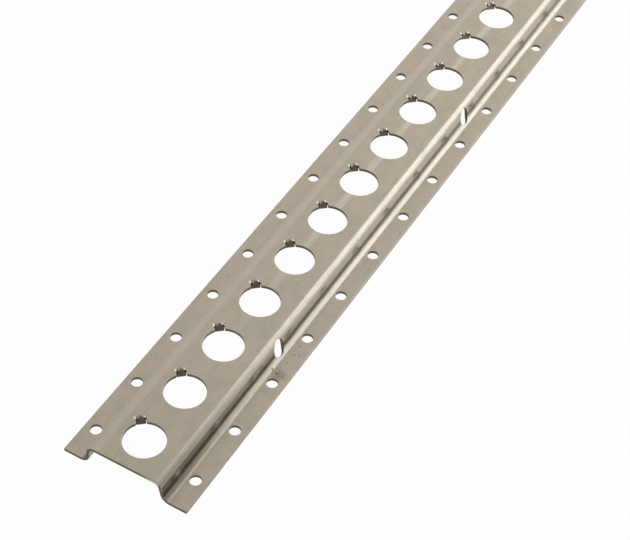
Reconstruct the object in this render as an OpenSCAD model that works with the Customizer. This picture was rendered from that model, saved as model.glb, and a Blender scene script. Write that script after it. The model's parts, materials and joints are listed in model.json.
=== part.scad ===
// Perforated cargo rail: one length of hat section rolled from sheet steel, lying on its two flanges.
// Millimetres: X across the rail, Y along it, Z up. The origin is under its middle, at floor level.

/* [Rail] */
// Length of the piece of stock, a whole number of stud hole pitches
length = 1200; // [240:40:3000]
// Width over both flanges
width = 80; // [74:0.5:100]
// Height over all, from the underside of the flanges to the top of the crown
height = 15; // [13:0.5:25]
// Thickness of the sheet
sheet = 2; // [1.5:0.1:2.5]
// Width of the crown between the sharp corners that its outer faces would meet in
crown = 47; // [44:0.5:50]
// Inside radius of the two upper bends, beside the crown
upper_radius = 3; // [2:0.25:4]
// Inside radius of the two lower bends, beside the flanges
lower_radius = 4; // [2:0.25:5]
// Lean of each riser away from upright
riser_lean = 10; // [4:1:18]

/* [Stud holes] */
// Distance from one stud hole to the next
pitch = 40; // [36:1:60]
// Diameter of the stud holes along the middle of the crown
stud_hole = 24.5; // [20:0.5:25.5]

/* [Locking tabs] */
// Direction of the tab seen from above, counted from across the rail
tab_direction = 132; // [120:1:150]
// Width of the tab, from its tip to its shoulders
tab_width = 5.75; // [4:0.25:7]
// Width of the neck that the tab narrows to, where it starts to bend
tab_neck = 2; // [1.5:0.25:3.5]
// Width of the cut on each side of the tab
tab_cut = 0.3; // [0.2:0.1:1]
// Distance from the centre of the hole to the shoulders, where the tab starts to narrow
tab_shoulder = 14.4; // [13.5:0.1:15]
// Distance from the centre of the hole to the line where the tab starts to bend
tab_root = 17; // [16:0.1:18]
// Angle that the tab is pressed down by
tab_angle = 40; // [25:1:50]
// Inside radius of the bend at the root of the tab
tab_bend = 1; // [0.5:0.1:1.5]
// Straight length of the tab past its bend
tab_leg = 2.9; // [2:0.1:3.4]

/* [Flange holes] */
// Diameter of the screw holes in the flanges
flange_hole = 6.8; // [4:0.1:7]
// Distance across the rail between the two rows of screw holes
flange_gauge = 65.5; // [64:0.5:68]

/* [Riser holes] */
// Diameter of the round holes in the right riser, square to the direction they are cut in
riser_hole = 9.8; // [6:0.2:11]
// Height of the middle of the hole above the floor, on the outer face of the riser
riser_hole_middle = 6.9; // [6:0.1:8]
// Tilt of the hole above level, as the forming of the punched sheet leaves it
riser_hole_tilt = 44; // [35:1:50]
// Distance of the hole past the place half way between two stud holes
riser_hole_shift = 0.5; // [0:0.25:4]
// Stud hole pitches from one riser hole to the next
riser_hole_every = 6; // [2:1:10]

/* [Hidden] */
$fn = 96;
// Length that cutting tools run past the faces they cut
over = 5;
// Overlap that joins a tab to the crown
lap = 0.6;
// How far each bend's arc passes the flat faces beside it, so that they meet in a clear edge
blend = 0.01;
// Angle that each bend turns the sheet through
turn = 90 - riser_lean;
// Centre of the upper bend of the right half
upper_x = crown / 2 - (upper_radius + sheet) * tan(turn / 2);
upper_z = height - upper_radius - sheet;
// Centre of the lower bend of the right half
foot_x = crown / 2 + (height - sheet) * tan(riser_lean);
lower_x = foot_x + lower_radius * tan(turn / 2);
lower_z = sheet + lower_radius;
tab_bend_outside = tab_bend + sheet;
hole_count = floor(length / pitch);
first_hole = -(hole_count - 1) * pitch / 2;
riser_hole_count = floor((hole_count + riser_hole_every / 2) / riser_hole_every);
first_riser_hole = riser_hole_shift - (riser_hole_count - 1) * riser_hole_every * pitch / 2;
steel = [0.62, 0.59, 0.53];

// Kite about a bend's centre, between two directions in degrees, with its far corner square to both
module bend_kite(reach, from, to) {
    half = (to - from) / 2;
    far = reach / cos(half);
    polygon([
        [0, 0],
        [reach * cos(from), reach * sin(from)],
        [far * cos(from + half), far * sin(from + half)],
        [reach * cos(to), reach * sin(to)]
    ]);
}

// Waste outside a bend, where the sharp corner of the sheet is rounded off
module bend_waste(inside, from, to) {
    difference() {
        bend_kite(inside + sheet + over, from, to);
        circle(r = inside + sheet + blend);
    }
}

// Filling inside a bend, where the sharp inner corner becomes round
module bend_filling(inside, from, to) {
    difference() {
        bend_kite(inside + sheet / 2, from, to);
        circle(r = inside + blend);
    }
}

// Puts its children on the right side and, turned over, on the left
module both_sides() {
    children();
    mirror([1, 0])
        children();
}

// The section with sharp corners, X to the right and Y standing for height
module sharp_section() {
    rim = width / 2;
    under_x = lower_x - (lower_radius + sheet) * tan(turn / 2);
    inner_x = crown / 2 - sheet * tan(turn / 2);
    polygon([
        [-rim, 0],
        [-under_x, 0],
        [-inner_x, height - sheet],
        [inner_x, height - sheet],
        [under_x, 0],
        [rim, 0],
        [rim, sheet],
        [foot_x, sheet],
        [crown / 2, height],
        [-crown / 2, height],
        [-foot_x, sheet],
        [-rim, sheet]
    ]);
}

// Whole section across the rail: two flanges, two risers and the crown, with four round bends
module section() {
    difference() {
        union() {
            sharp_section();
            both_sides() {
                translate([upper_x, upper_z])
                    bend_filling(upper_radius, riser_lean, 90);
                translate([lower_x, lower_z])
                    bend_filling(lower_radius, 180 + riser_lean, 270);
            }
        }
        both_sides() {
            translate([upper_x, upper_z])
                bend_waste(upper_radius, riser_lean, 90);
            translate([lower_x, lower_z])
                bend_waste(lower_radius, 180 + riser_lean, 270);
        }
    }
}

// Plain length of the section, before any hole
module bar() {
    translate([0, length / 2, 0])
        rotate([90, 0, 0])
            linear_extrude(height = length)
                section();
}

// Puts its children at every stud hole, on top of the crown
module at_stud_holes() {
    for (i = [0 : hole_count - 1])
        translate([0, first_hole + i * pitch, height])
            children();
}

// Outline of a tab seen from above, X outwards from the hole, up to reach and wider by margin on each side
module tab_plan(reach, margin) {
    wide = tab_width / 2 + margin;
    narrowing = (tab_width - tab_neck) / 2 / (tab_root - tab_shoulder);
    narrow = wide - (reach - tab_shoulder) * narrowing;
    polygon([
        [0, -wide],
        [tab_shoulder, -wide],
        [reach, -narrow],
        [reach, narrow],
        [tab_shoulder, wide],
        [0, wide]
    ]);
}

// Round hole for a stud, with the opening that its tab is cut out of
module stud_opening() {
    translate([0, 0, -sheet - over]) {
        cylinder(d = stud_hole, h = sheet + 2 * over);
        rotate([0, 0, tab_direction])
            linear_extrude(height = sheet + 2 * over)
                tab_plan(tab_root, tab_cut);
    }
}

// Side view of a tab: X outwards from the hole, Y standing for height
module tab_profile() {
    slope_x = -cos(tab_angle);
    slope_z = -sin(tab_angle);
    low_x = tab_root + tab_bend * slope_z;
    low_z = -tab_bend_outside - tab_bend * slope_x;
    high_x = tab_root + tab_bend_outside * slope_z;
    high_z = -tab_bend_outside - tab_bend_outside * slope_x;
    difference() {
        union() {
            polygon([
                [tab_root + lap, 0],
                [tab_root - tab_bend_outside * tan(tab_angle / 2), 0],
                [high_x + tab_leg * slope_x, high_z + tab_leg * slope_z],
                [low_x + tab_leg * slope_x, low_z + tab_leg * slope_z],
                [tab_root - tab_bend * tan(tab_angle / 2), -sheet],
                [tab_root + lap, -sheet]
            ]);
            translate([tab_root, -tab_bend_outside])
                bend_filling(tab_bend, 90, 90 + tab_angle);
        }
        translate([tab_root, -tab_bend_outside])
            bend_waste(tab_bend, 90, 90 + tab_angle);
    }
}

// Tab lanced from the rim of a stud hole and pressed down below the crown
module tab() {
    rotate([0, 0, tab_direction])
        intersection() {
            translate([0, tab_width, 0])
                rotate([90, 0, 0])
                    linear_extrude(height = 2 * tab_width)
                        tab_profile();
            translate([0, 0, -height])
                linear_extrude(height = height + over)
                    tab_plan(tab_root + lap, 0);
        }
}

// Screw holes through both flanges, level with every stud hole
module flange_drill() {
    for (i = [0 : hole_count - 1], side = [-1, 1])
        translate([side * flange_gauge / 2, first_hole + i * pitch, -over])
            cylinder(d = flange_hole, h = sheet + 2 * over);
}

// Round hole through the right riser, tilted so that its upper and lower ends lie in the two bends
module riser_drill() {
    middle_x = crown / 2 + (height - riser_hole_middle) * tan(riser_lean);
    translate([middle_x, 0, riser_hole_middle])
        rotate([0, 90 - riser_hole_tilt, 0])
            cylinder(d = riser_hole, h = 3 * over, center = true);
}

module rail() {
    color(steel) {
        difference() {
            bar();
            at_stud_holes()
                stud_opening();
            flange_drill();
            for (i = [0 : riser_hole_count - 1])
                translate([0, first_riser_hole + i * riser_hole_every * pitch, 0])
                    riser_drill();
        }
        at_stud_holes()
            tab();
    }
}

rail();
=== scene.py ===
# Looks of the cargo rail: the folded sheet as a fine mesh, its bare steel, and the studio around it.
# Metres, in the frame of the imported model: X across the rail, Y along it, Z up, the floor at zero.
import json
import math

import bpy
import numpy as np
from mathutils import Matrix, Vector
from mathutils.geometry import delaunay_2d_cdt


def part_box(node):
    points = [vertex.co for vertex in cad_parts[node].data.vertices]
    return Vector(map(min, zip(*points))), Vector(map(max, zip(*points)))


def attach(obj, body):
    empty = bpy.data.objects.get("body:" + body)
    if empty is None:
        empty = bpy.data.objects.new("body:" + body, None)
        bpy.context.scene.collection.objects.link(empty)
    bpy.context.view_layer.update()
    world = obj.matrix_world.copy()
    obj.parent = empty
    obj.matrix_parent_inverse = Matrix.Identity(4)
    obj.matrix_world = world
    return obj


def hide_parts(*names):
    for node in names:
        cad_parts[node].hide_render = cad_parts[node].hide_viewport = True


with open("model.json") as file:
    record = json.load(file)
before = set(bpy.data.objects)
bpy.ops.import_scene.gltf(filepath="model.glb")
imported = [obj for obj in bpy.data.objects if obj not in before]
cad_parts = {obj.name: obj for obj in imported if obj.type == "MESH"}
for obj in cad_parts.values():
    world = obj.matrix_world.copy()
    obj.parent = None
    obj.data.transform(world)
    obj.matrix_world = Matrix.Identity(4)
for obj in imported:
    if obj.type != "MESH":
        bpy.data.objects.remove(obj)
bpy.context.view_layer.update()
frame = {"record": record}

# Finer units in a metre, and a quarter of a turn
MILLIMETRES = 1000
MICROMETRES = 1e6
QUARTER = math.pi / 2

# Sizes that the frame gives
HALF_WIDTH, HALF_LENGTH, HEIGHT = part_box("rail")[1]
MOUNTS = {mount["name"]: mount for mount in frame["record"]["mounts"]}
STUD_RADIUS = MOUNTS["stud_hole_01"]["dims"]["r_mm"] / MILLIMETRES
SHEET = MOUNTS["stud_hole_01"]["dims"]["length_mm"] / MILLIMETRES
FIRST_STUD = MOUNTS["stud_hole_01"]["pos_m"][1]
SCREW_RADIUS = MOUNTS["flange_screws_ends"]["dims"]["hole_r_mm"] / MILLIMETRES
SCREW_X = MOUNTS["flange_screws_ends"]["dims"]["spacing_x_mm"] / 2 / MILLIMETRES

# Sizes of the section, the holes and the tabs, as in the part's source
PITCH = 0.040
CROWN = 0.047
UPPER_RADIUS = 0.003
LOWER_RADIUS = 0.004
RISER_LEAN = math.radians(10)
TAB_DIRECTION = math.radians(132)
TAB_HALF = 0.002875
TAB_SHOULDER = 0.0144
TAB_ANGLE = math.radians(40)
TAB_BEND = 0.001
RISER_HOLE_EVERY = 6
RISER_HOLE_SHIFT = 0.0005

# Tabs as only the looks have them: finer cuts that end early, half the neck left there, the root and the leg
TAB_CUT = 0.0002
TAB_CUT_END = 0.0160
TAB_NECK = 0.0017
TAB_ROOT = 0.0175
TAB_LEG = 0.0033

# Power of the arch that a tab's crease makes from the end of one cut to the other
CREASE_POWER = 3

# Dents where the cuts of a tab end: depth, reach, and places outwards and sideways from the stud hole
DENT_DEPTH, DENT_REACH = 0.0005, 0.0007
DENTS = ((0.0160, 0.0023), (0.0160, -0.0027))

# Nick in the right edge: its place along the rail, its depth and its reach
NICK_Y, NICK_DEPTH, NICK_REACH = -0.5597, 0.0003, 0.0009

# Riser hole as it was punched in the flat blank: its middle across, and half its size across and along
RISER_HOLE_ACROSS = 0.02865
RISER_HOLE_HALF = (0.00595, 0.0046)

# Painted shade about each tab: how far its tip lies from the centre of the stud hole, and the width it fades
# over
TAB_SHADE_TIP, TAB_SHADE_SOFT = 0.0182, 0.0010

# Painted glints beside each tab: their places outwards and sideways from the stud hole, and their reach
GLINT_OUT, GLINT_SIDE, GLINT_REACH = 0.0164, 0.0027, 0.0008

# Share of a cut edge's darkness, which is partly painted shade, that the long sides of the rail have, and the
# cuts of the tabs
SIDE_CUT, TAB_CUT_DARK = 0.88, 0.8

# Worn roundness of the cut edges, and the small radius of punched corners
EDGE_ROUND = 0.00025
CORNER_ROUND = 0.0004

# Fineness of the mesh
BEND_STEPS = 8
ROUND_STEPS = 2
STUD_STEP = math.radians(3)
SMALL_STEP = math.radians(9)
CORNER_STEP = math.radians(22.5)
LINE_STEP = 0.010
TAB_STEP = 0.0005
NICK_STEPS = 4

# Points about each tab: rows outwards from its tip, columns on each side, and how many steps they keep clear
TAB_ROWS, TAB_COLUMNS, TAB_CLEAR = 15, 12, 0.7

# How far the fold lines of the lower bends stop short of the flanges, to keep clear of the flange holes
LINE_CLEAR = 0.00012

# Points, angles and places that differ by less than this count as the same
SAME_POINT, SAME_ANGLE, SAME_PLACE = 1e-9, 1e-6, 1e-7

# Places of the stud holes and of the riser holes along the rail
stud_count = int(round(2 * HALF_LENGTH / PITCH))
stud_places = [FIRST_STUD + PITCH * i for i in range(stud_count)]
riser_count = int((stud_count + RISER_HOLE_EVERY / 2) // RISER_HOLE_EVERY)
riser_step = RISER_HOLE_EVERY * PITCH
riser_places = [RISER_HOLE_SHIFT + (i - (riser_count - 1) / 2) * riser_step for i in range(riser_count)]

# Fold of the sheet: distances across the flat blank where each stretch of the section ends
turn = QUARTER - RISER_LEAN
upper_middle = UPPER_RADIUS + SHEET / 2
lower_middle = LOWER_RADIUS + SHEET / 2
upper_x = CROWN / 2 - (UPPER_RADIUS + SHEET) * math.tan(turn / 2)
upper_z = HEIGHT - UPPER_RADIUS - SHEET
foot_x = CROWN / 2 + (HEIGHT - SHEET) * math.tan(RISER_LEAN)
lower_x = foot_x + LOWER_RADIUS * math.tan(turn / 2)
lower_z = SHEET + LOWER_RADIUS
riser_length = math.hypot(
    lower_x - upper_x - (upper_middle + lower_middle) * math.cos(RISER_LEAN),
    upper_z - lower_z + (upper_middle + lower_middle) * math.sin(RISER_LEAN),
)
CROWN_END = upper_x
UPPER_END = CROWN_END + upper_middle * turn
RISER_END = UPPER_END + riser_length
LOWER_END = RISER_END + lower_middle * turn
BLANK_HALF = LOWER_END + HALF_WIDTH - lower_x

# Each tab in the flat blank: its direction, where its tip lies, and how its two cuts lean in towards its neck
tab_cos, tab_sin = math.cos(TAB_DIRECTION), math.sin(TAB_DIRECTION)
tab_middle = TAB_BEND + SHEET / 2
tab_tip = TAB_ROOT - tab_middle * TAB_ANGLE - TAB_LEG
cut_lean = math.atan2(TAB_HALF - TAB_NECK, TAB_CUT_END - TAB_SHOULDER)


def fold(flat):
    """Folds points of the flat blank, (across, along, height over its top face), into the section."""
    across, along, height = flat.T
    side = np.where(across < 0, -1.0, 1.0)
    away = np.abs(across)
    lift = SHEET / 2 + height
    lean_cos, lean_sin = math.cos(RISER_LEAN), math.sin(RISER_LEAN)
    first = np.clip((away - CROWN_END) / upper_middle, 0, turn)
    second = RISER_LEAN + np.clip((away - RISER_END) / lower_middle, 0, turn)
    down = away - UPPER_END
    stretches = [away <= end for end in (CROWN_END, UPPER_END, RISER_END, LOWER_END)]
    x = np.select(
        stretches,
        [
            away,
            upper_x + (upper_middle + lift) * np.sin(first),
            upper_x + (upper_middle + lift) * lean_cos + down * lean_sin,
            lower_x - (lower_middle - lift) * np.cos(second),
        ],
        lower_x + away - LOWER_END,
    )
    z = np.select(
        stretches,
        [
            HEIGHT + height,
            upper_z + (upper_middle + lift) * np.cos(first),
            upper_z + (upper_middle + lift) * lean_sin - down * lean_cos,
            lower_z - (lower_middle - lift) * np.sin(second),
        ],
        SHEET + height,
    )
    return np.column_stack([side * x, along, z])


def tab_coordinates(across, along):
    """How far points lie outwards and sideways along the nearest stud hole's tab, and that hole's place."""
    index = np.clip(np.round((along - FIRST_STUD) / PITCH), 0, stud_count - 1)
    centre = FIRST_STUD + PITCH * index
    past = along - centre
    return across * tab_cos + past * tab_sin, past * tab_cos - across * tab_sin, centre


def neck_share(out):
    """0 where a tab is at its full width, 1 where its cuts end and only its neck is left."""
    return np.clip((out - TAB_SHOULDER) / (TAB_CUT_END - TAB_SHOULDER), 0, 1)


def outside_tab(out, sideways):
    """Distance of a point from the side of its tab, negative on the tab itself."""
    share = neck_share(out)
    lean = np.where((share > 0) & (share < 1), math.cos(cut_lean), 1.0)
    return (np.abs(sideways) - TAB_HALF - (TAB_NECK - TAB_HALF) * share) * lean


def crease(out, sideways):
    """Distance from the hole's centre at which a tab starts to bend, an arch between the ends of its cuts."""
    beside = np.clip(np.abs(sideways) / TAB_NECK, 0, 1) ** CREASE_POWER
    return TAB_ROOT - (TAB_ROOT - TAB_CUT_END) * beside * neck_share(out)


def press_tabs(flat, on_tab):
    """Bends the points that lie on a tab down about its crease, and dents the sheet where its cuts end."""
    across, along, height = flat.T
    out, sideways, centre = tab_coordinates(across, along)
    for dent_out, dent_side in DENTS:
        off = (out - dent_out) ** 2 + (sideways - dent_side) ** 2
        height = height - DENT_DEPTH * np.exp(-off / DENT_REACH ** 2)
    root = crease(out, sideways)
    run = root - out
    angle = np.clip(run / tab_middle, 0, TAB_ANGLE)
    rest = np.maximum(run - tab_middle * TAB_ANGLE, 0)
    radius = TAB_BEND + SHEET + height
    bent = on_tab & (run > 0)
    out = np.where(bent, root - radius * np.sin(angle) - rest * np.cos(angle), out)
    height = np.where(bent, radius * np.cos(angle) - rest * np.sin(angle) - TAB_BEND - SHEET, height)
    x = out * tab_cos - sideways * tab_sin
    y = centre + out * tab_sin + sideways * tab_cos
    return np.column_stack([x, y, height])


def formed(flat, on_tab):
    """Places points of the flat blank on the finished rail."""
    return fold(press_tabs(flat, on_tab))


def formed_normals(flat, on_tab, flat_normals):
    """Carries normals of the flat blank over to the finished rail."""
    step = 1e-6
    columns = []
    for axis in range(3):
        shift = np.zeros(3)
        shift[axis] = step
        columns.append((formed(flat + shift, on_tab) - formed(flat - shift, on_tab)) / (2 * step))
    jacobian = np.stack(columns, axis=2)
    carried = np.linalg.solve(np.swapaxes(jacobian, 1, 2), flat_normals[:, :, None])[:, :, 0]
    return carried / np.linalg.norm(carried, axis=1, keepdims=True)


class Outline:
    """A closed edge of the blank, with the sheet on its right: points, and normals into the sheet."""

    def __init__(self):
        self.points = []
        self.normals = []

    def add(self, point, normal):
        """One more point, unless the last one is the same."""
        if self.points and math.dist(self.points[-1], point) < SAME_POINT:
            return
        self.points.append(tuple(point))
        self.normals.append(tuple(normal))

    def arc(self, centre, radius, start, end, step, bulge, extra=()):
        """An arc from one angle to another; bulge is 1 where the sheet lies outside it and -1 inside."""
        count = max(1, math.ceil(abs(end - start) / step))
        angles = [start + (end - start) * i / count for i in range(count + 1)]
        low, high = min(start, end), max(start, end)
        angles += [angle for angle in extra if low + SAME_ANGLE < angle < high - SAME_ANGLE]
        angles.sort(reverse=end < start)
        for angle in angles:
            x, y = math.cos(angle), math.sin(angle)
            self.add((centre[0] + radius * x, centre[1] + radius * y), (bulge * x, bulge * y))

    def line(self, start, end, step=None, extra=()):
        """A straight stretch; extra holds shares of the way where a point is wanted."""
        direction = np.subtract(end, start)
        size = math.hypot(*direction)
        normal = (direction[1] / size, -direction[0] / size)
        count = max(1, math.ceil(size / step)) if step else 1
        shares = {i / count for i in range(count + 1)} | {share for share in extra if 0 < share < 1}
        for share in sorted(shares):
            self.add((start[0] + direction[0] * share, start[1] + direction[1] * share), normal)

    def closed(self, turn_by=0.0, place=(0.0, 0.0)):
        """Points and normals as arrays, turned and moved into place."""
        if math.dist(self.points[0], self.points[-1]) < SAME_POINT:
            self.points.pop()
            self.normals.pop()
        x, y = math.cos(turn_by), math.sin(turn_by)
        rotation = np.array([[x, y], [-y, x]])
        return np.array(self.points) @ rotation + np.array(place), np.array(self.normals) @ rotation


def stud_outline():
    """Round stud hole with the two cuts that free its tab, the tab pointing along the first axis."""
    edge = Outline()
    cut_side = TAB_HALF + TAB_CUT
    small = CORNER_ROUND
    corner = math.sqrt((STUD_RADIUS + small) ** 2 - (cut_side + small) ** 2)
    opening = math.atan2(cut_side + small, corner)
    elbow = TAB_SHOULDER + TAB_CUT * math.tan(cut_lean / 2)
    far = (TAB_CUT_END + TAB_CUT * math.sin(cut_lean), TAB_NECK + TAB_CUT * math.cos(cut_lean))
    cap = ((TAB_CUT_END + far[0]) / 2, (TAB_NECK + far[1]) / 2)
    edge.arc((0, 0), STUD_RADIUS, opening, 2 * math.pi - opening, STUD_STEP, 1)
    edge.arc((corner, -cut_side - small), small, math.pi - opening, QUARTER, CORNER_STEP, -1)
    edge.line((corner, -cut_side), (elbow, -cut_side), TAB_STEP)
    edge.line((elbow, -cut_side), (far[0], -far[1]), TAB_STEP)
    edge.arc((cap[0], -cap[1]), TAB_CUT / 2, cut_lean - QUARTER, cut_lean + QUARTER, 2 * CORNER_STEP, 1)
    edge.line((TAB_CUT_END, -TAB_NECK), (TAB_SHOULDER, -TAB_HALF), TAB_STEP)
    edge.line((TAB_SHOULDER, -TAB_HALF), (tab_tip + small, -TAB_HALF), TAB_STEP)
    edge.arc((tab_tip + small, -TAB_HALF + small), small, -QUARTER, -2 * QUARTER, CORNER_STEP, -1)
    edge.line((tab_tip, -TAB_HALF + small), (tab_tip, TAB_HALF - small), TAB_STEP)
    edge.arc((tab_tip + small, TAB_HALF - small), small, 2 * QUARTER, QUARTER, CORNER_STEP, -1)
    edge.line((tab_tip + small, TAB_HALF), (TAB_SHOULDER, TAB_HALF), TAB_STEP)
    edge.line((TAB_SHOULDER, TAB_HALF), (TAB_CUT_END, TAB_NECK), TAB_STEP)
    edge.arc(cap, TAB_CUT / 2, -cut_lean - QUARTER, QUARTER - cut_lean, 2 * CORNER_STEP, 1)
    edge.line(far, (elbow, cut_side), TAB_STEP)
    edge.line((elbow, cut_side), (corner, cut_side), TAB_STEP)
    edge.arc((corner, cut_side + small), small, -QUARTER, opening - math.pi, CORNER_STEP, -1)
    return edge


def round_outline(radius):
    """Plain round hole."""
    edge = Outline()
    edge.arc((0, 0), radius, 0, 2 * math.pi, SMALL_STEP, 1)
    return edge


def riser_outline(lines):
    """Oval hole through the right riser, with a point wherever a fold line meets it."""
    edge = Outline()
    half, radius = RISER_HOLE_HALF
    low, high = RISER_HOLE_ACROSS - half + radius, RISER_HOLE_ACROSS + half - radius

    def crossings(centre, around):
        reach = radius + EDGE_ROUND
        angles = [math.acos((line - centre) / reach) for line in lines if abs(line - centre) < reach]
        return [around + angle for angle in angles] + [around - angle for angle in angles]

    shares = [(line - low) / (high - low) for line in lines]
    low_crossings = crossings(low, 0) + crossings(low, 4 * QUARTER)
    edge.line((low, -radius), (high, -radius), None, shares)
    edge.arc((high, 0), radius, -QUARTER, QUARTER, SMALL_STEP, 1, crossings(high, 0))
    edge.line((high, radius), (low, radius), None, [1 - share for share in shares])
    edge.arc((low, 0), radius, QUARTER, 3 * QUARTER, SMALL_STEP, 1, low_crossings)
    return edge


def border_outline(lines):
    """Outer edge of the blank, with a point wherever a fold line meets an end, and more about the nick."""
    edge = Outline()
    small = CORNER_ROUND
    x, y = BLANK_HALF, HALF_LENGTH
    run = 2 * (x - small)
    shares = [(side * line + x - small) / run for line in lines for side in (-1, 1)]
    beside = [NICK_REACH * i / 2 for i in range(-NICK_STEPS, NICK_STEPS + 1)]
    nick = [(y - small - NICK_Y + step) / (2 * (y - small)) for step in beside]
    edge.line((-x, small - y), (-x, y - small), LINE_STEP)
    edge.arc((small - x, y - small), small, 2 * QUARTER, QUARTER, CORNER_STEP, -1)
    edge.line((small - x, y), (x - small, y), LINE_STEP, shares)
    edge.arc((x - small, y - small), small, QUARTER, 0, CORNER_STEP, -1)
    edge.line((x, y - small), (x, small - y), LINE_STEP, nick)
    edge.arc((x - small, small - y), small, 0, -QUARTER, CORNER_STEP, -1)
    edge.line((x - small, -y), (small - x, -y), LINE_STEP, shares)
    edge.arc((small - x, small - y), small, -QUARTER, -2 * QUARTER, CORNER_STEP, -1)
    return edge


def nicked(border, inwards):
    """Points of the border, with a small nick pressed into its right edge."""
    on_right = border[:, 0] > BLANK_HALF - SAME_PLACE
    depth = NICK_DEPTH * np.exp(-((border[:, 1] - NICK_Y) / NICK_REACH) ** 2) * on_right
    return border + inwards * depth[:, None]


def fold_lines():
    """Distances across the blank of the lines that its bends are folded at, the same on both sides."""
    steps = [i / BEND_STEPS for i in range(BEND_STEPS + 1)]
    upper = [CROWN_END + upper_middle * turn * step for step in steps]
    lower = [RISER_END + (lower_middle * turn - LINE_CLEAR) * step for step in steps]
    return upper + lower


def blank_loops(lines):
    """Every edge of the blank, its border first: points, and normals into the sheet."""
    border, inwards = border_outline(lines).closed()
    loops = [(nicked(border, inwards), inwards)]
    stud, screw, riser_hole = stud_outline(), round_outline(SCREW_RADIUS), riser_outline(lines)
    screw_across = LOWER_END + SCREW_X - lower_x
    for y in stud_places:
        loops.append(stud.closed(TAB_DIRECTION, (0, y)))
        loops.append(screw.closed(0, (screw_across, y)))
        loops.append(screw.closed(0, (-screw_across, y)))
    for y in riser_places:
        loops.append(riser_hole.closed(0, (0, y)))
    return loops


def riser_gaps(line):
    """Stretches of a fold line that the riser holes cut out, as places along the rail."""
    half, radius = RISER_HOLE_HALF
    reach = radius + EDGE_ROUND
    past = max(abs(line - RISER_HOLE_ACROSS) - half + radius, 0)
    if past >= reach:
        return []
    side = math.sqrt(reach ** 2 - past ** 2)
    return [(y - side, y + side) for y in riser_places]


def stretches_between(stations, gaps):
    """Stretches of a line from each station to the next, with the gaps left out."""

    def in_gap(place):
        return any(low + SAME_PLACE < place < high - SAME_PLACE for low, high in gaps)

    def is_gap(start, end):
        return any(abs(start - low) < SAME_PLACE and abs(end - high) < SAME_PLACE for low, high in gaps)

    places = sorted(set(stations) | {end for gap in gaps for end in gap})
    places = [place for place in places if not in_gap(place)]
    return [(start, end) for start, end in zip(places, places[1:]) if not is_gap(start, end)]


def tab_grid():
    """Points on a tab and about its crease, clear of its edges, as places from the stud hole's centre."""
    clear = EDGE_ROUND + TAB_STEP * TAB_CLEAR
    rim = STUD_RADIUS + CORNER_ROUND + clear
    grid = []
    for row in range(1, TAB_ROWS + 1):
        out = tab_tip + row * TAB_STEP
        for column in range(-TAB_COLUMNS, TAB_COLUMNS + 1):
            sideways = column * TAB_STEP
            gap = outside_tab(out, sideways)
            on_tab = gap < -clear and out > tab_tip + clear
            beside_tab = gap > TAB_CUT + clear and math.hypot(out, sideways) > rim
            past_cut = out > TAB_CUT_END + TAB_CUT / 2 + clear
            if past_cut or on_tab or beside_tab:
                grid.append((out * tab_cos - sideways * tab_sin, out * tab_sin + sideways * tab_cos))
    return grid


class Blank:
    """Points of the flat blank, and the edges between them that its triangles have to keep."""

    def __init__(self):
        self.points = []
        self.edges = []
        self.known = {}

    def key(self, x, y):
        """A place in whole micrometres."""
        return round(x * MICROMETRES), round(y * MICROMETRES)

    def ring(self, places):
        """Adds a closed run of new points and gives their numbers."""
        start = len(self.points)
        numbers = list(range(start, start + len(places)))
        for number, (x, y) in zip(numbers, places):
            self.points.append((x, y))
            self.known[self.key(x, y)] = number
        self.edges += list(zip(numbers, numbers[1:] + numbers[:1]))
        return numbers

    def at(self, x, y):
        """Number of the point at a place, which is added if it is new."""
        key = self.key(x, y)
        if key not in self.known:
            self.known[key] = len(self.points)
            self.points.append((x, y))
        return self.known[key]

    def add_folds(self, lines):
        """Adds the fold lines on both sides, from end to end, broken by the riser holes."""
        halves = [y + half for y in stud_places for half in (0, PITCH / 2)]
        stations = [-HALF_LENGTH + EDGE_ROUND] + halves[:-1] + [HALF_LENGTH - EDGE_ROUND]
        for line in lines:
            for side in (-1, 1):
                gaps = riser_gaps(line) if side > 0 else []
                for start, end in stretches_between(stations, gaps):
                    self.edges.append((self.at(side * line, start), self.at(side * line, end)))

    def add_tabs(self):
        """Adds the points about every tab."""
        grid = tab_grid()
        for y in stud_places:
            for x, past in grid:
                self.at(x, y + past)


def inside(point, loop):
    """Is a point inside a closed loop of points?"""
    x, y = point
    ax, ay = loop[:, 0], loop[:, 1]
    bx, by = np.roll(ax, -1), np.roll(ay, -1)
    crosses = (ay > y) != (by > y)
    with np.errstate(divide="ignore", invalid="ignore"):
        at = (bx - ax) * (y - ay) / (by - ay) + ax
    return np.count_nonzero(crosses & (x < at)) % 2 == 1


def blank_triangles(loops, lines):
    """The blank in triangles without its openings: points, triangles, and the numbers round each ring."""
    blank = Blank()
    inner = [points + normals * EDGE_ROUND for points, normals in loops]
    rings = [blank.ring(places) for places in inner]
    blank.add_folds(lines)
    blank.add_tabs()
    merge = 1e-5
    large = [Vector((x * MILLIMETRES, y * MILLIMETRES)) for x, y in blank.points]
    made, _, triangles, origins, _, _ = delaunay_2d_cdt(large, blank.edges, [], 0, merge)
    new_number = {old: new for new, olds in enumerate(origins) for old in olds}
    made = np.array([(point.x / MILLIMETRES, point.y / MILLIMETRES) for point in made])
    rings = [[new_number[old] for old in ring] for ring in rings]
    ring_at = np.full(len(made), -1)
    for number, ring in enumerate(rings):
        ring_at[ring] = number

    def in_opening(corners):
        number = ring_at[corners[0]]
        if number < 1 or any(ring_at[corner] != number for corner in corners):
            return False
        return inside(made[corners].mean(axis=0), inner[number])

    kept = [tuple(corners) for corners in triangles if not in_opening(list(corners))]
    return made, kept, rings


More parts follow.
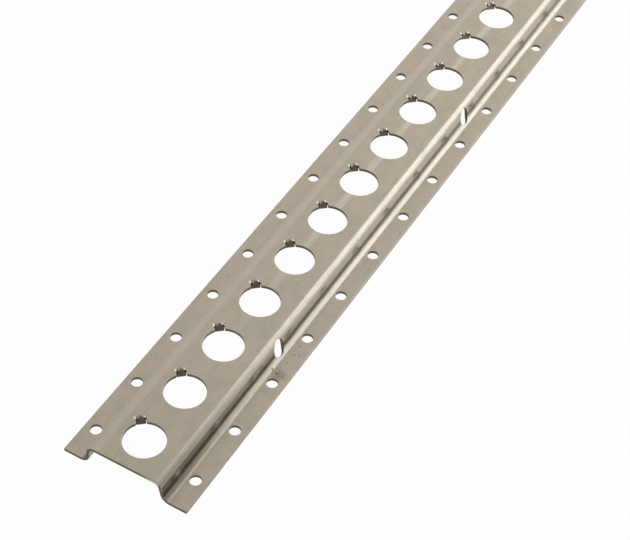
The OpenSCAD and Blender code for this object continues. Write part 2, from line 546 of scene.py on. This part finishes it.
def edge_profile():
    """Steps down a rounded edge: distance into the sheet, height, and the normal's angle from upright."""
    upper = []
    for i in range(1, ROUND_STEPS + 1):
        angle = QUARTER * i / ROUND_STEPS
        upper.append((EDGE_ROUND * (1 - math.sin(angle)), -EDGE_ROUND * (1 - math.cos(angle)), angle))
    lower = [(offset, -SHEET - height, math.pi - angle) for offset, height, angle in reversed(upper)]
    return upper + lower


def ring_faces(upper, lower):
    """Faces between two rings of points that run the same way."""
    count = len(upper)
    after = [(i + 1) % count for i in range(count)]
    return [(upper[i], upper[after[i]], lower[after[i]], lower[i]) for i in range(count)]


def thick_sheet(loops, lines):
    """The blank with its thickness and round edges: points, normals, faces, and how far each point is cut."""
    made, triangles, rings = blank_triangles(loops, lines)
    count = len(made)
    points = [np.column_stack([made, np.full(count, height)]) for height in (0.0, -SHEET)]
    normals = [np.tile((0.0, 0.0, up), (count, 1)) for up in (1.0, -1.0)]
    cut = [np.zeros(2 * count)]
    faces = triangles + [(count + c, count + b, count + a) for a, b, c in triangles]
    total = 2 * count
    for number, (edge, inwards) in enumerate(loops):
        size = len(edge)
        dark = np.ones(size) if number else np.maximum(np.abs(inwards[:, 1]), SIDE_CUT)
        previous = rings[number]
        for offset, height, angle in edge_profile():
            points.append(np.column_stack([edge + inwards * offset, np.full(size, height)]))
            normals.append(np.column_stack([-inwards * math.sin(angle), np.full(size, math.cos(angle))]))
            cut.append(math.sin(angle) * dark)
            ring = list(range(total, total + size))
            total += size
            faces += ring_faces(previous, ring)
            previous = ring
        faces += ring_faces(previous, [count + i for i in rings[number]])
    return np.vstack(points), np.vstack(normals), faces, np.concatenate(cut)


def cuts_and_painted_light(out, sideways, on_tab, cut):
    """How far each point is cut, with painted shade on the pressed tabs and painted glints beside them, from
    its place beside a tab.
    """
    beside = np.abs(sideways)
    tab_shade_share = np.clip((TAB_SHADE_TIP - out - beside) / TAB_SHADE_SOFT, 0, 1)
    past_hole = np.hypot(out, sideways) > STUD_RADIUS + CORNER_ROUND
    cut = np.where(past_hole & (beside < TAB_HALF + 2 * TAB_CUT), TAB_CUT_DARK * cut, cut)
    on_face = cut < 0.5
    off_spot = (out - GLINT_OUT) ** 2 + (beside - GLINT_SIDE) ** 2
    return {
        "cut": cut,
        # Painted shade on the pressed tabs, fading out at a wedge-shaped tip
        "pressed": tab_shade_share * (on_tab | (out > TAB_CUT_END)),
        "painted_glint": np.exp(-off_spot / GLINT_REACH ** 2) * on_face,
    }


def rail_mesh():
    """The whole rail: one flat blank with its openings, given thickness and round edges, then formed."""
    lines = fold_lines()
    flat, flat_normals, faces, cut = thick_sheet(blank_loops(lines), lines)
    out, sideways, _ = tab_coordinates(flat[:, 0], flat[:, 1])
    on_tab = (outside_tab(out, sideways) < TAB_CUT / 2) & (out > tab_tip - TAB_STEP) & (out < TAB_ROOT)
    mesh = bpy.data.meshes.new("rail_sheet")
    mesh.from_pydata(formed(flat, on_tab).tolist(), [], faces)
    for name, values in cuts_and_painted_light(out, sideways, on_tab, cut).items():
        mesh.attributes.new(name, "FLOAT", "POINT").data.foreach_set("value", values.astype(np.float32))
    mesh.shade_smooth()
    mesh.normals_split_custom_set_from_vertices(formed_normals(flat, on_tab, flat_normals).tolist())
    return mesh


rail = bpy.data.objects.new("rail_sheet", rail_mesh())
bpy.context.scene.collection.objects.link(rail)
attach(rail, "root")
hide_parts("rail")

# Colours of the steel, from the rolled sheet to the painted shade and glints, the cuts, the tabs and the rust
STEEL_COOL = (0.518, 0.474, 0.366, 1)
STEEL_WARM = (0.592, 0.504, 0.397, 1)
STEEL_BRIGHT = (0.70, 0.635, 0.525, 1)
STEEL_SHADE = (0.20, 0.18, 0.14, 1)
STEEL_RISER = (0.492, 0.455, 0.412, 1)
# Deepest painted shade, in the creases at the risers' feet and in the painted hole reflections
STEEL_DEEP_SHADE = (0.13, 0.112, 0.09, 1)
# Painted glints beside the tabs
STEEL_GLINT = (0.90, 0.84, 0.72, 1)
# Cut edges: sheared steel, with painted shade on the walls inside the holes and cuts
STEEL_CUT = (0.12, 0.105, 0.088, 1)
# Painted shade on the pressed tabs
STEEL_TAB_SHADE = (0.34, 0.285, 0.22, 1)
RUST = (0.140, 0.080, 0.026, 1)

# Noise on the sheet: how the grain is stretched, then the scale, detail and roughness of each kind
GRAIN_STRETCH = (900.0, 60.0, 900.0)
GRAIN = (1.0, 4.0, 0.6)
MOTTLE = (90.0, 5.0, 0.65)
SPECKLE = (800.0, 3.0, 0.6)

# Middle value of any noise
NOISE_MIDDLE = 0.5

# What the noise does: the two values it runs between, and the amount at each of them
MOTTLE_WARMTH = (0.33, 0.67, 0.0, 1.0)
GRAIN_SHADE = (0.25, 0.75, 0.0, 0.10)
SPECKLE_SHADE = (0.25, 0.75, 0.0, 0.14)
GRAIN_STREAK = (0.3, 0.6, 0.25, 0.75)
GRAIN_REFLECTION = (0.3, 0.6, 0.6, 1.0)
GRAIN_ROUGH = (0.2, 0.8, 0.28, 0.36)

# Depth of the noise as relief, and its strength
BUMP_DEPTH, BUMP_STRENGTH = 0.0001, 0.15

# Where cut edges turn dark, how strong the painted shade on the tabs is, and the roughness that cuts and rust
# add
CUT_TURNS = (0.75, 1.0)
TAB_SHADE_STRENGTH = 0.9
CUT_ROUGH, RUST_ROUGH = 0.2, 0.3

# Streaks along the crown: how far from its middle one ends and is full, and where the weaker left one runs, a
# painted sheen beside the left bend
STREAK_REACH = (0.0034, 0.0012)
LEFT_SHEEN_X, LEFT_SHEEN_STRENGTH = -0.0192, 0.5

# Where along the rail the middle streak starts and is full
STREAK_START = (-0.545, -0.36)

# Bands along the risers, of a greyer tint and of painted shade: the heights where each starts, is full, is
# still full and ends
RISER_BAND = (0.0035, 0.0055, 0.0105, 0.0125)
NEAR_SHADE_BAND = (0.0035, 0.0060, 0.0125, 0.0140)
BEND_SHADE_BAND = (0.0021, 0.0027, 0.0045, 0.0060)
FOOT_SHADE_BAND = (0.0036, 0.0058, 0.0060, 0.0090)

# Strength of the painted shade bands and of the painted hole reflections: two places along the rail, and the
# strength at each of them
NEAR_SHADE_ALONG = (-0.60, -0.48, 0.55, 0.04)
BEND_SHADE_ALONG = (-0.575, -0.53, 0.65, 0.0)
FOOT_SHADE_ALONG = (-0.45, -0.10, 1.0, 0.75)
REFLECTION_ALONG = (-0.55, -0.42, 0.95, 0.65)
RISER_STRENGTH = 0.8

# Painted reflections of the flange holes on the right riser: how far before each flange hole, their height,
# and their reach along and up
REFLECTION_BACK, REFLECTION_Z = 0.009, 0.0094
REFLECTION_REACH = (0.0050, 0.0024)

# Distance across the rail where the painted hole reflections start to show and show fully
REFLECTION_SIDE = (0.020, 0.022)

# Painted shade along the left edge of the crown, dimming the light line on the left bend: where it starts and
# is full, across and up, and its strength
LEFT_SHADE_X, LEFT_SHADE_Z, LEFT_SHADE_STRENGTH = (-0.0212, -0.0222), (0.010, 0.012), 0.2

# Marks on the right flange that the photograph shows: place across and along, radius, and how dark each is
MARKS = (
    (0.0276, -0.4912, 0.0009, 1.0),
    (0.0315, -0.4926, 0.0011, 0.80),
    (0.0336, -0.4930, 0.0009, 0.65),
    (0.0356, -0.4934, 0.0009, 0.60),
    (0.0375, -0.4937, 0.0007, 0.50),
    (0.0329, -0.4755, 0.0009, 0.45),
    (0.0356, -0.4741, 0.0009, 0.45),
    (0.0323, -0.4677, 0.0009, 0.40),
    (0.0322, -0.4831, 0.0009, 0.40),
    (0.0325, -0.4925, 0.0055, 0.30),
)

# Share of its reach within which a mark or a painted hole reflection is at its full strength
CORE = 0.2


class Nodes:
    """Node tree of a material or a world, with short calls to add and join nodes."""

    def __init__(self, owner):
        owner.use_nodes = True
        self.tree = owner.node_tree
        self.tree.nodes.clear()

    def add(self, kind, settings=None, **inputs):
        """A new node; the name of an input has _ for each space."""
        node = self.tree.nodes.new(kind)
        for name, value in (settings or {}).items():
            setattr(node, name, value)
        for name, value in inputs.items():
            self.set(node, name.replace("_", " "), value)
        return node

    def set(self, node, name, value):
        """Gives an input, by its name or number, a value or a link."""
        socket = node.inputs[name]
        if isinstance(value, bpy.types.NodeSocket):
            self.tree.links.new(value, socket)
        else:
            socket.default_value = value

    def blended(self, amount, first, second):
        """Colour between two others, by the numbers of a mix node's inputs for colours."""
        mix = self.add("ShaderNodeMix", {"data_type": "RGBA"})
        for number, value in ((0, amount), (6, first), (7, second)):
            self.set(mix, number, value)
        return mix.outputs[2]

    def ramped(self, value, start, end, low=0.0, high=1.0, way="SMOOTHSTEP"):
        """Value led from one range to another, smoothly unless another way is named."""
        node = self.add("ShaderNodeMapRange", {"interpolation_type": way}, Value=value)
        for name, limit in (("From Min", start), ("From Max", end), ("To Min", low), ("To Max", high)):
            self.set(node, name, limit)
        return node.outputs["Result"]

    def joined(self, operation, *values):
        """Result of a piece of arithmetic on one or two values."""
        node = self.add("ShaderNodeMath", {"operation": operation})
        for number, value in enumerate(values):
            self.set(node, number, value)
        return node.outputs[0]

    def product(self, first, *others):
        """Several values multiplied."""
        for other in others:
            first = self.joined("MULTIPLY", first, other)
        return first

    def banded(self, value, band):
        """1 where a value is well within a band, 0 outside it, and smooth between."""
        start, full, still, end = band
        return self.product(self.ramped(value, start, full), self.ramped(value, end, still))

    def apart(self, value, middle):
        """Distance of a value from a middle one."""
        return self.joined("ABSOLUTE", self.joined("SUBTRACT", value, middle))

    def noise(self, place, scale, detail, roughness):
        """Noise at a place, about its middle value."""
        node = self.add("ShaderNodeTexNoise", Vector=place, Scale=scale, Detail=detail, Roughness=roughness)
        return node.outputs["Fac"]

    def attribute(self, name):
        """Value that the mesh holds at each point."""
        return self.add("ShaderNodeAttribute", {"attribute_name": name}).outputs["Fac"]


def marks(nodes, place, wobble):
    """Amount of dirt and rust at a place: the greatest of all the marks."""
    amount = 0.0
    for x, y, radius, dark in MARKS:
        distance = nodes.add("ShaderNodeVectorMath", {"operation": "DISTANCE"})
        nodes.set(distance, 0, place)
        nodes.set(distance, 1, (x, y, SHEET))
        off = nodes.joined("SUBTRACT", distance.outputs["Value"], nodes.product(wobble, 2 * radius))
        amount = nodes.joined("MAXIMUM", amount, nodes.ramped(off, radius, radius * CORE, 0, dark))
    return amount


def hole_reflections(nodes, axes, grain):
    """Amount of painted reflection of the flange holes, a row of dark patches along the right riser."""
    along, up = REFLECTION_REACH
    past_first = nodes.joined("SUBTRACT", axes["Y"], FIRST_STUD - REFLECTION_BACK)
    return nodes.product(
        nodes.ramped(nodes.joined("PINGPONG", past_first, PITCH / 2), along, along * CORE),
        nodes.ramped(nodes.apart(axes["Z"], REFLECTION_Z), up, up * CORE),
        nodes.ramped(grain, *GRAIN_REFLECTION),
        nodes.ramped(axes["Y"], *REFLECTION_ALONG),
        nodes.ramped(axes["X"], *REFLECTION_SIDE),
    )


def streaks_and_sheen(nodes, axes, grain):
    """Amount of rubbing along the crown's middle, and of a weaker painted sheen beside the left bend."""
    middle = nodes.ramped(nodes.apart(axes["X"], 0.0), *STREAK_REACH)
    middle = nodes.product(middle, nodes.ramped(axes["Y"], *STREAK_START))
    left = nodes.ramped(nodes.apart(axes["X"], LEFT_SHEEN_X), *STREAK_REACH, 0, LEFT_SHEEN_STRENGTH)
    return nodes.product(nodes.joined("MAXIMUM", middle, left), nodes.ramped(grain, *GRAIN_STREAK))


def rolled_colour(nodes, place, grain, speckle):
    """Rolled sheet: patches a little warmer and cooler, darkened along the grain and in specks."""
    mottle = nodes.noise(place, *MOTTLE)
    colour = nodes.blended(nodes.ramped(mottle, *MOTTLE_WARMTH), STEEL_COOL, STEEL_WARM)
    shade = nodes.joined("ADD", nodes.ramped(grain, *GRAIN_SHADE), nodes.ramped(speckle, *SPECKLE_SHADE))
    return nodes.blended(shade, colour, STEEL_SHADE)


def riser_colour(nodes, colour, axes, grain):
    """Adds a greyer tint on the risers, and painted shade on them: at the near end and on the lower bend
    there, along their feet, and in painted reflections of the flange holes.
    """
    tint = nodes.product(nodes.banded(axes["Z"], RISER_BAND), RISER_STRENGTH)
    near_shade = nodes.product(nodes.banded(axes["Z"], NEAR_SHADE_BAND), nodes.ramped(axes["Y"], *NEAR_SHADE_ALONG))
    bend_shade = nodes.product(nodes.banded(axes["Z"], BEND_SHADE_BAND), nodes.ramped(axes["Y"], *BEND_SHADE_ALONG))
    foot_shade = nodes.product(nodes.banded(axes["Z"], FOOT_SHADE_BAND), nodes.ramped(axes["Y"], *FOOT_SHADE_ALONG))
    colour = nodes.blended(tint, colour, STEEL_RISER)
    # Painted shade on the risers and the lower bends towards the near end
    colour = nodes.blended(nodes.joined("MAXIMUM", near_shade, bend_shade), colour, STEEL_SHADE)
    # Painted shade in the crease at the foot of each riser
    colour = nodes.blended(foot_shade, colour, STEEL_DEEP_SHADE)
    # Painted reflections of the flange holes: dark patches on the right riser
    return nodes.blended(hole_reflections(nodes, axes, grain), colour, STEEL_DEEP_SHADE)


def steel_material():
    """Dull rolled steel: mottled, with a fine lengthwise grain, worn streaks, painted shade, sheen and
    glints, dark cuts and marks.
    """
    material = bpy.data.materials.new("bare_steel")
    nodes = Nodes(material)
    place = nodes.add("ShaderNodeTexCoord").outputs["Object"]
    axes = nodes.add("ShaderNodeSeparateXYZ", Vector=place).outputs
    stretched = nodes.add("ShaderNodeMapping", Vector=place, Scale=GRAIN_STRETCH).outputs[0]
    grain = nodes.noise(stretched, *GRAIN)
    speckle = nodes.noise(place, *SPECKLE)
    cut = nodes.ramped(nodes.attribute("cut"), *CUT_TURNS)
    pressed = nodes.product(nodes.attribute("pressed"), TAB_SHADE_STRENGTH)
    rust = marks(nodes, place, nodes.joined("SUBTRACT", speckle, NOISE_MIDDLE))
    # Painted shade along the left edge of the crown, dimming the light line on the left bend
    left_edge_shade = nodes.ramped(axes["X"], *LEFT_SHADE_X, 0, LEFT_SHADE_STRENGTH)
    left_edge_shade = nodes.product(left_edge_shade, nodes.ramped(axes["Z"], *LEFT_SHADE_Z))

    # Colour in layers, each over the one before
    colour = rolled_colour(nodes, place, grain, speckle)
    # Worn streaks on the crown's middle, and a painted sheen beside the left bend
    colour = nodes.blended(streaks_and_sheen(nodes, axes, grain), colour, STEEL_BRIGHT)
    colour = riser_colour(nodes, colour, axes, grain)
    # Painted shade over the light line on the left bend
    colour = nodes.blended(left_edge_shade, colour, STEEL_SHADE)
    # Painted glints beside each tab
    colour = nodes.blended(nodes.attribute("painted_glint"), colour, STEEL_GLINT)
    # Cut edges: sheared steel, darkened further by painted shade on the walls inside the holes and cuts
    colour = nodes.blended(cut, colour, STEEL_CUT)
    # Painted shade on the pressed tabs, which slope down into the stud holes
    colour = nodes.blended(pressed, colour, STEEL_TAB_SHADE)
    colour = nodes.blended(rust, colour, RUST)

    # Cut edges are duller than the sheet, and rust is duller still
    rough = nodes.joined("ADD", nodes.ramped(grain, *GRAIN_ROUGH), nodes.product(cut, CUT_ROUGH))
    rough = nodes.joined("ADD", rough, nodes.product(rust, RUST_ROUGH))
    relief = nodes.joined("ADD", grain, speckle)
    bump = nodes.add("ShaderNodeBump", Strength=BUMP_STRENGTH, Distance=BUMP_DEPTH, Height=relief)
    shader = nodes.add("ShaderNodeBsdfPrincipled", Metallic=1.0, Base_Color=colour, Roughness=rough)
    nodes.set(shader, "Normal", bump.outputs["Normal"])
    nodes.add("ShaderNodeOutputMaterial", Surface=shader.outputs[0])
    return material


rail.data.materials.append(steel_material())

# Floor: half its size, its distance below the rail, its grey, and its share of white where it is seen
FLOOR_HALF, FLOOR_DROP = 30.0, 0.0002
FLOOR_GREY = (0.85, 0.85, 0.85, 1)
FLOOR_WHITE = 0.97
WHITE = (1, 1, 1, 1)

# Brightness of the surroundings along and across the rail: two directions, and the strength at each of them
AHEAD = (-0.3, 0.8, 0.245, 0.93)
RIGHT = (0.3, 0.8, 1.0, 0.6)
LEFT = (-0.75, -0.95, 1.0, 0.82)

# Strip lamp to the right of the rail's far half and past its end, turned towards the rail's middle line
STRIP_PLACE = Vector((0.430, 0.772, 0.405))
STRIP_TARGET = Vector((0, 0.772, 0))
STRIP_LONG, STRIP_HIGH = 1.78, 0.90
STRIP_POWER = 7.8
STRIP_COLOUR = (0.80, 0.87, 1.0)

# Camera of the photograph: its place from the first stud hole, its turns, and its sensor and lens in mm
CAMERA_PLACE = Vector((0.32392, FIRST_STUD - 0.43640, HEIGHT + 0.70833))
AZIMUTH, ELEVATION, ROLL = math.radians(27.448), math.radians(46.553), math.radians(3.598)
SENSOR, LENS = 36.0, 93.328


def seen_ray(nodes):
    """1 for the rays that show the background: those of the camera, of gloss and through glass."""
    rays = nodes.add("ShaderNodeLightPath").outputs
    seen = nodes.joined("MAXIMUM", rays["Is Camera Ray"], rays["Is Glossy Ray"])
    return nodes.joined("MAXIMUM", seen, rays["Is Transmission Ray"])


def floor_material():
    """Pale grey floor that is nearly white where it is seen, and keeps a trace of the rail's shadow."""
    material = bpy.data.materials.new("studio_floor")
    nodes = Nodes(material)
    diffuse = nodes.add("ShaderNodeBsdfDiffuse", Color=FLOOR_GREY)
    white = nodes.add("ShaderNodeEmission", Color=WHITE, Strength=1.0)
    mix = nodes.add("ShaderNodeMixShader", Fac=nodes.product(seen_ray(nodes), FLOOR_WHITE))
    nodes.set(mix, 1, diffuse.outputs[0])
    nodes.set(mix, 2, white.outputs[0])
    nodes.add("ShaderNodeOutputMaterial", Surface=mix.outputs[0])
    return material


def pale_floor():
    """Wide flat floor just under the rail."""
    corners = [(x * FLOOR_HALF, y * FLOOR_HALF, 0) for x, y in ((-1, -1), (1, -1), (1, 1), (-1, 1))]
    mesh = bpy.data.meshes.new("studio_floor")
    mesh.from_pydata(corners, [], [(0, 1, 2, 3)])
    mesh.materials.append(floor_material())
    floor = bpy.data.objects.new("studio_floor", mesh)
    floor.location.z = -FLOOR_DROP
    bpy.context.scene.collection.objects.link(floor)


def surroundings():
    """White surroundings, brighter ahead along the rail and dimmer far out to both sides."""
    world = bpy.data.worlds.new("studio")
    nodes = Nodes(world)
    towards = nodes.add("ShaderNodeTexCoord").outputs["Generated"]
    direction = nodes.add("ShaderNodeSeparateXYZ", Vector=towards).outputs
    ahead = nodes.ramped(direction["Y"], *AHEAD, "LINEAR")
    right = nodes.ramped(direction["X"], *RIGHT, "LINEAR")
    left = nodes.ramped(direction["X"], *LEFT, "LINEAR")
    strength = nodes.product(right, left, ahead)
    background = nodes.add("ShaderNodeBackground", Color=WHITE, Strength=strength)
    nodes.add("ShaderNodeOutputWorld", Surface=background.outputs[0])
    bpy.context.scene.world = world


def strip_lamp():
    """Long soft lamp, which the camera itself doesn't see."""
    data = bpy.data.lights.new("side_strip", "AREA")
    data.shape = "RECTANGLE"
    data.size = STRIP_LONG
    data.size_y = STRIP_HIGH
    data.energy = STRIP_POWER
    data.color = STRIP_COLOUR
    lamp = bpy.data.objects.new("side_strip", data)
    lamp.visible_camera = False
    lamp.location = STRIP_PLACE
    lamp.rotation_mode = "QUATERNION"
    lamp.rotation_quaternion = (STRIP_TARGET - STRIP_PLACE).to_track_quat("-Z", "Y")
    bpy.context.scene.collection.objects.link(lamp)


def photo_camera():
    """Camera that looks at the rail as the photograph does."""
    forward = Vector((
        -math.sin(AZIMUTH) * math.cos(ELEVATION),
        math.cos(AZIMUTH) * math.cos(ELEVATION),
        -math.sin(ELEVATION),
    ))
    level = forward.cross(Vector((0, 0, 1))).normalized()
    right = Matrix.Rotation(-ROLL, 3, forward) @ level
    up = right.cross(forward)
    turned = Matrix((right, up, -forward)).transposed().to_4x4()
    data = bpy.data.cameras.new("photo_camera")
    data.sensor_width = SENSOR
    data.lens = LENS
    camera = bpy.data.objects.new("photo_camera", data)
    camera.matrix_world = Matrix.Translation(CAMERA_PLACE) @ turned
    bpy.context.scene.collection.objects.link(camera)
    bpy.context.scene.camera = camera


pale_floor()
surroundings()
strip_lamp()
photo_camera()
bpy.context.scene.view_settings.view_transform = "Standard"
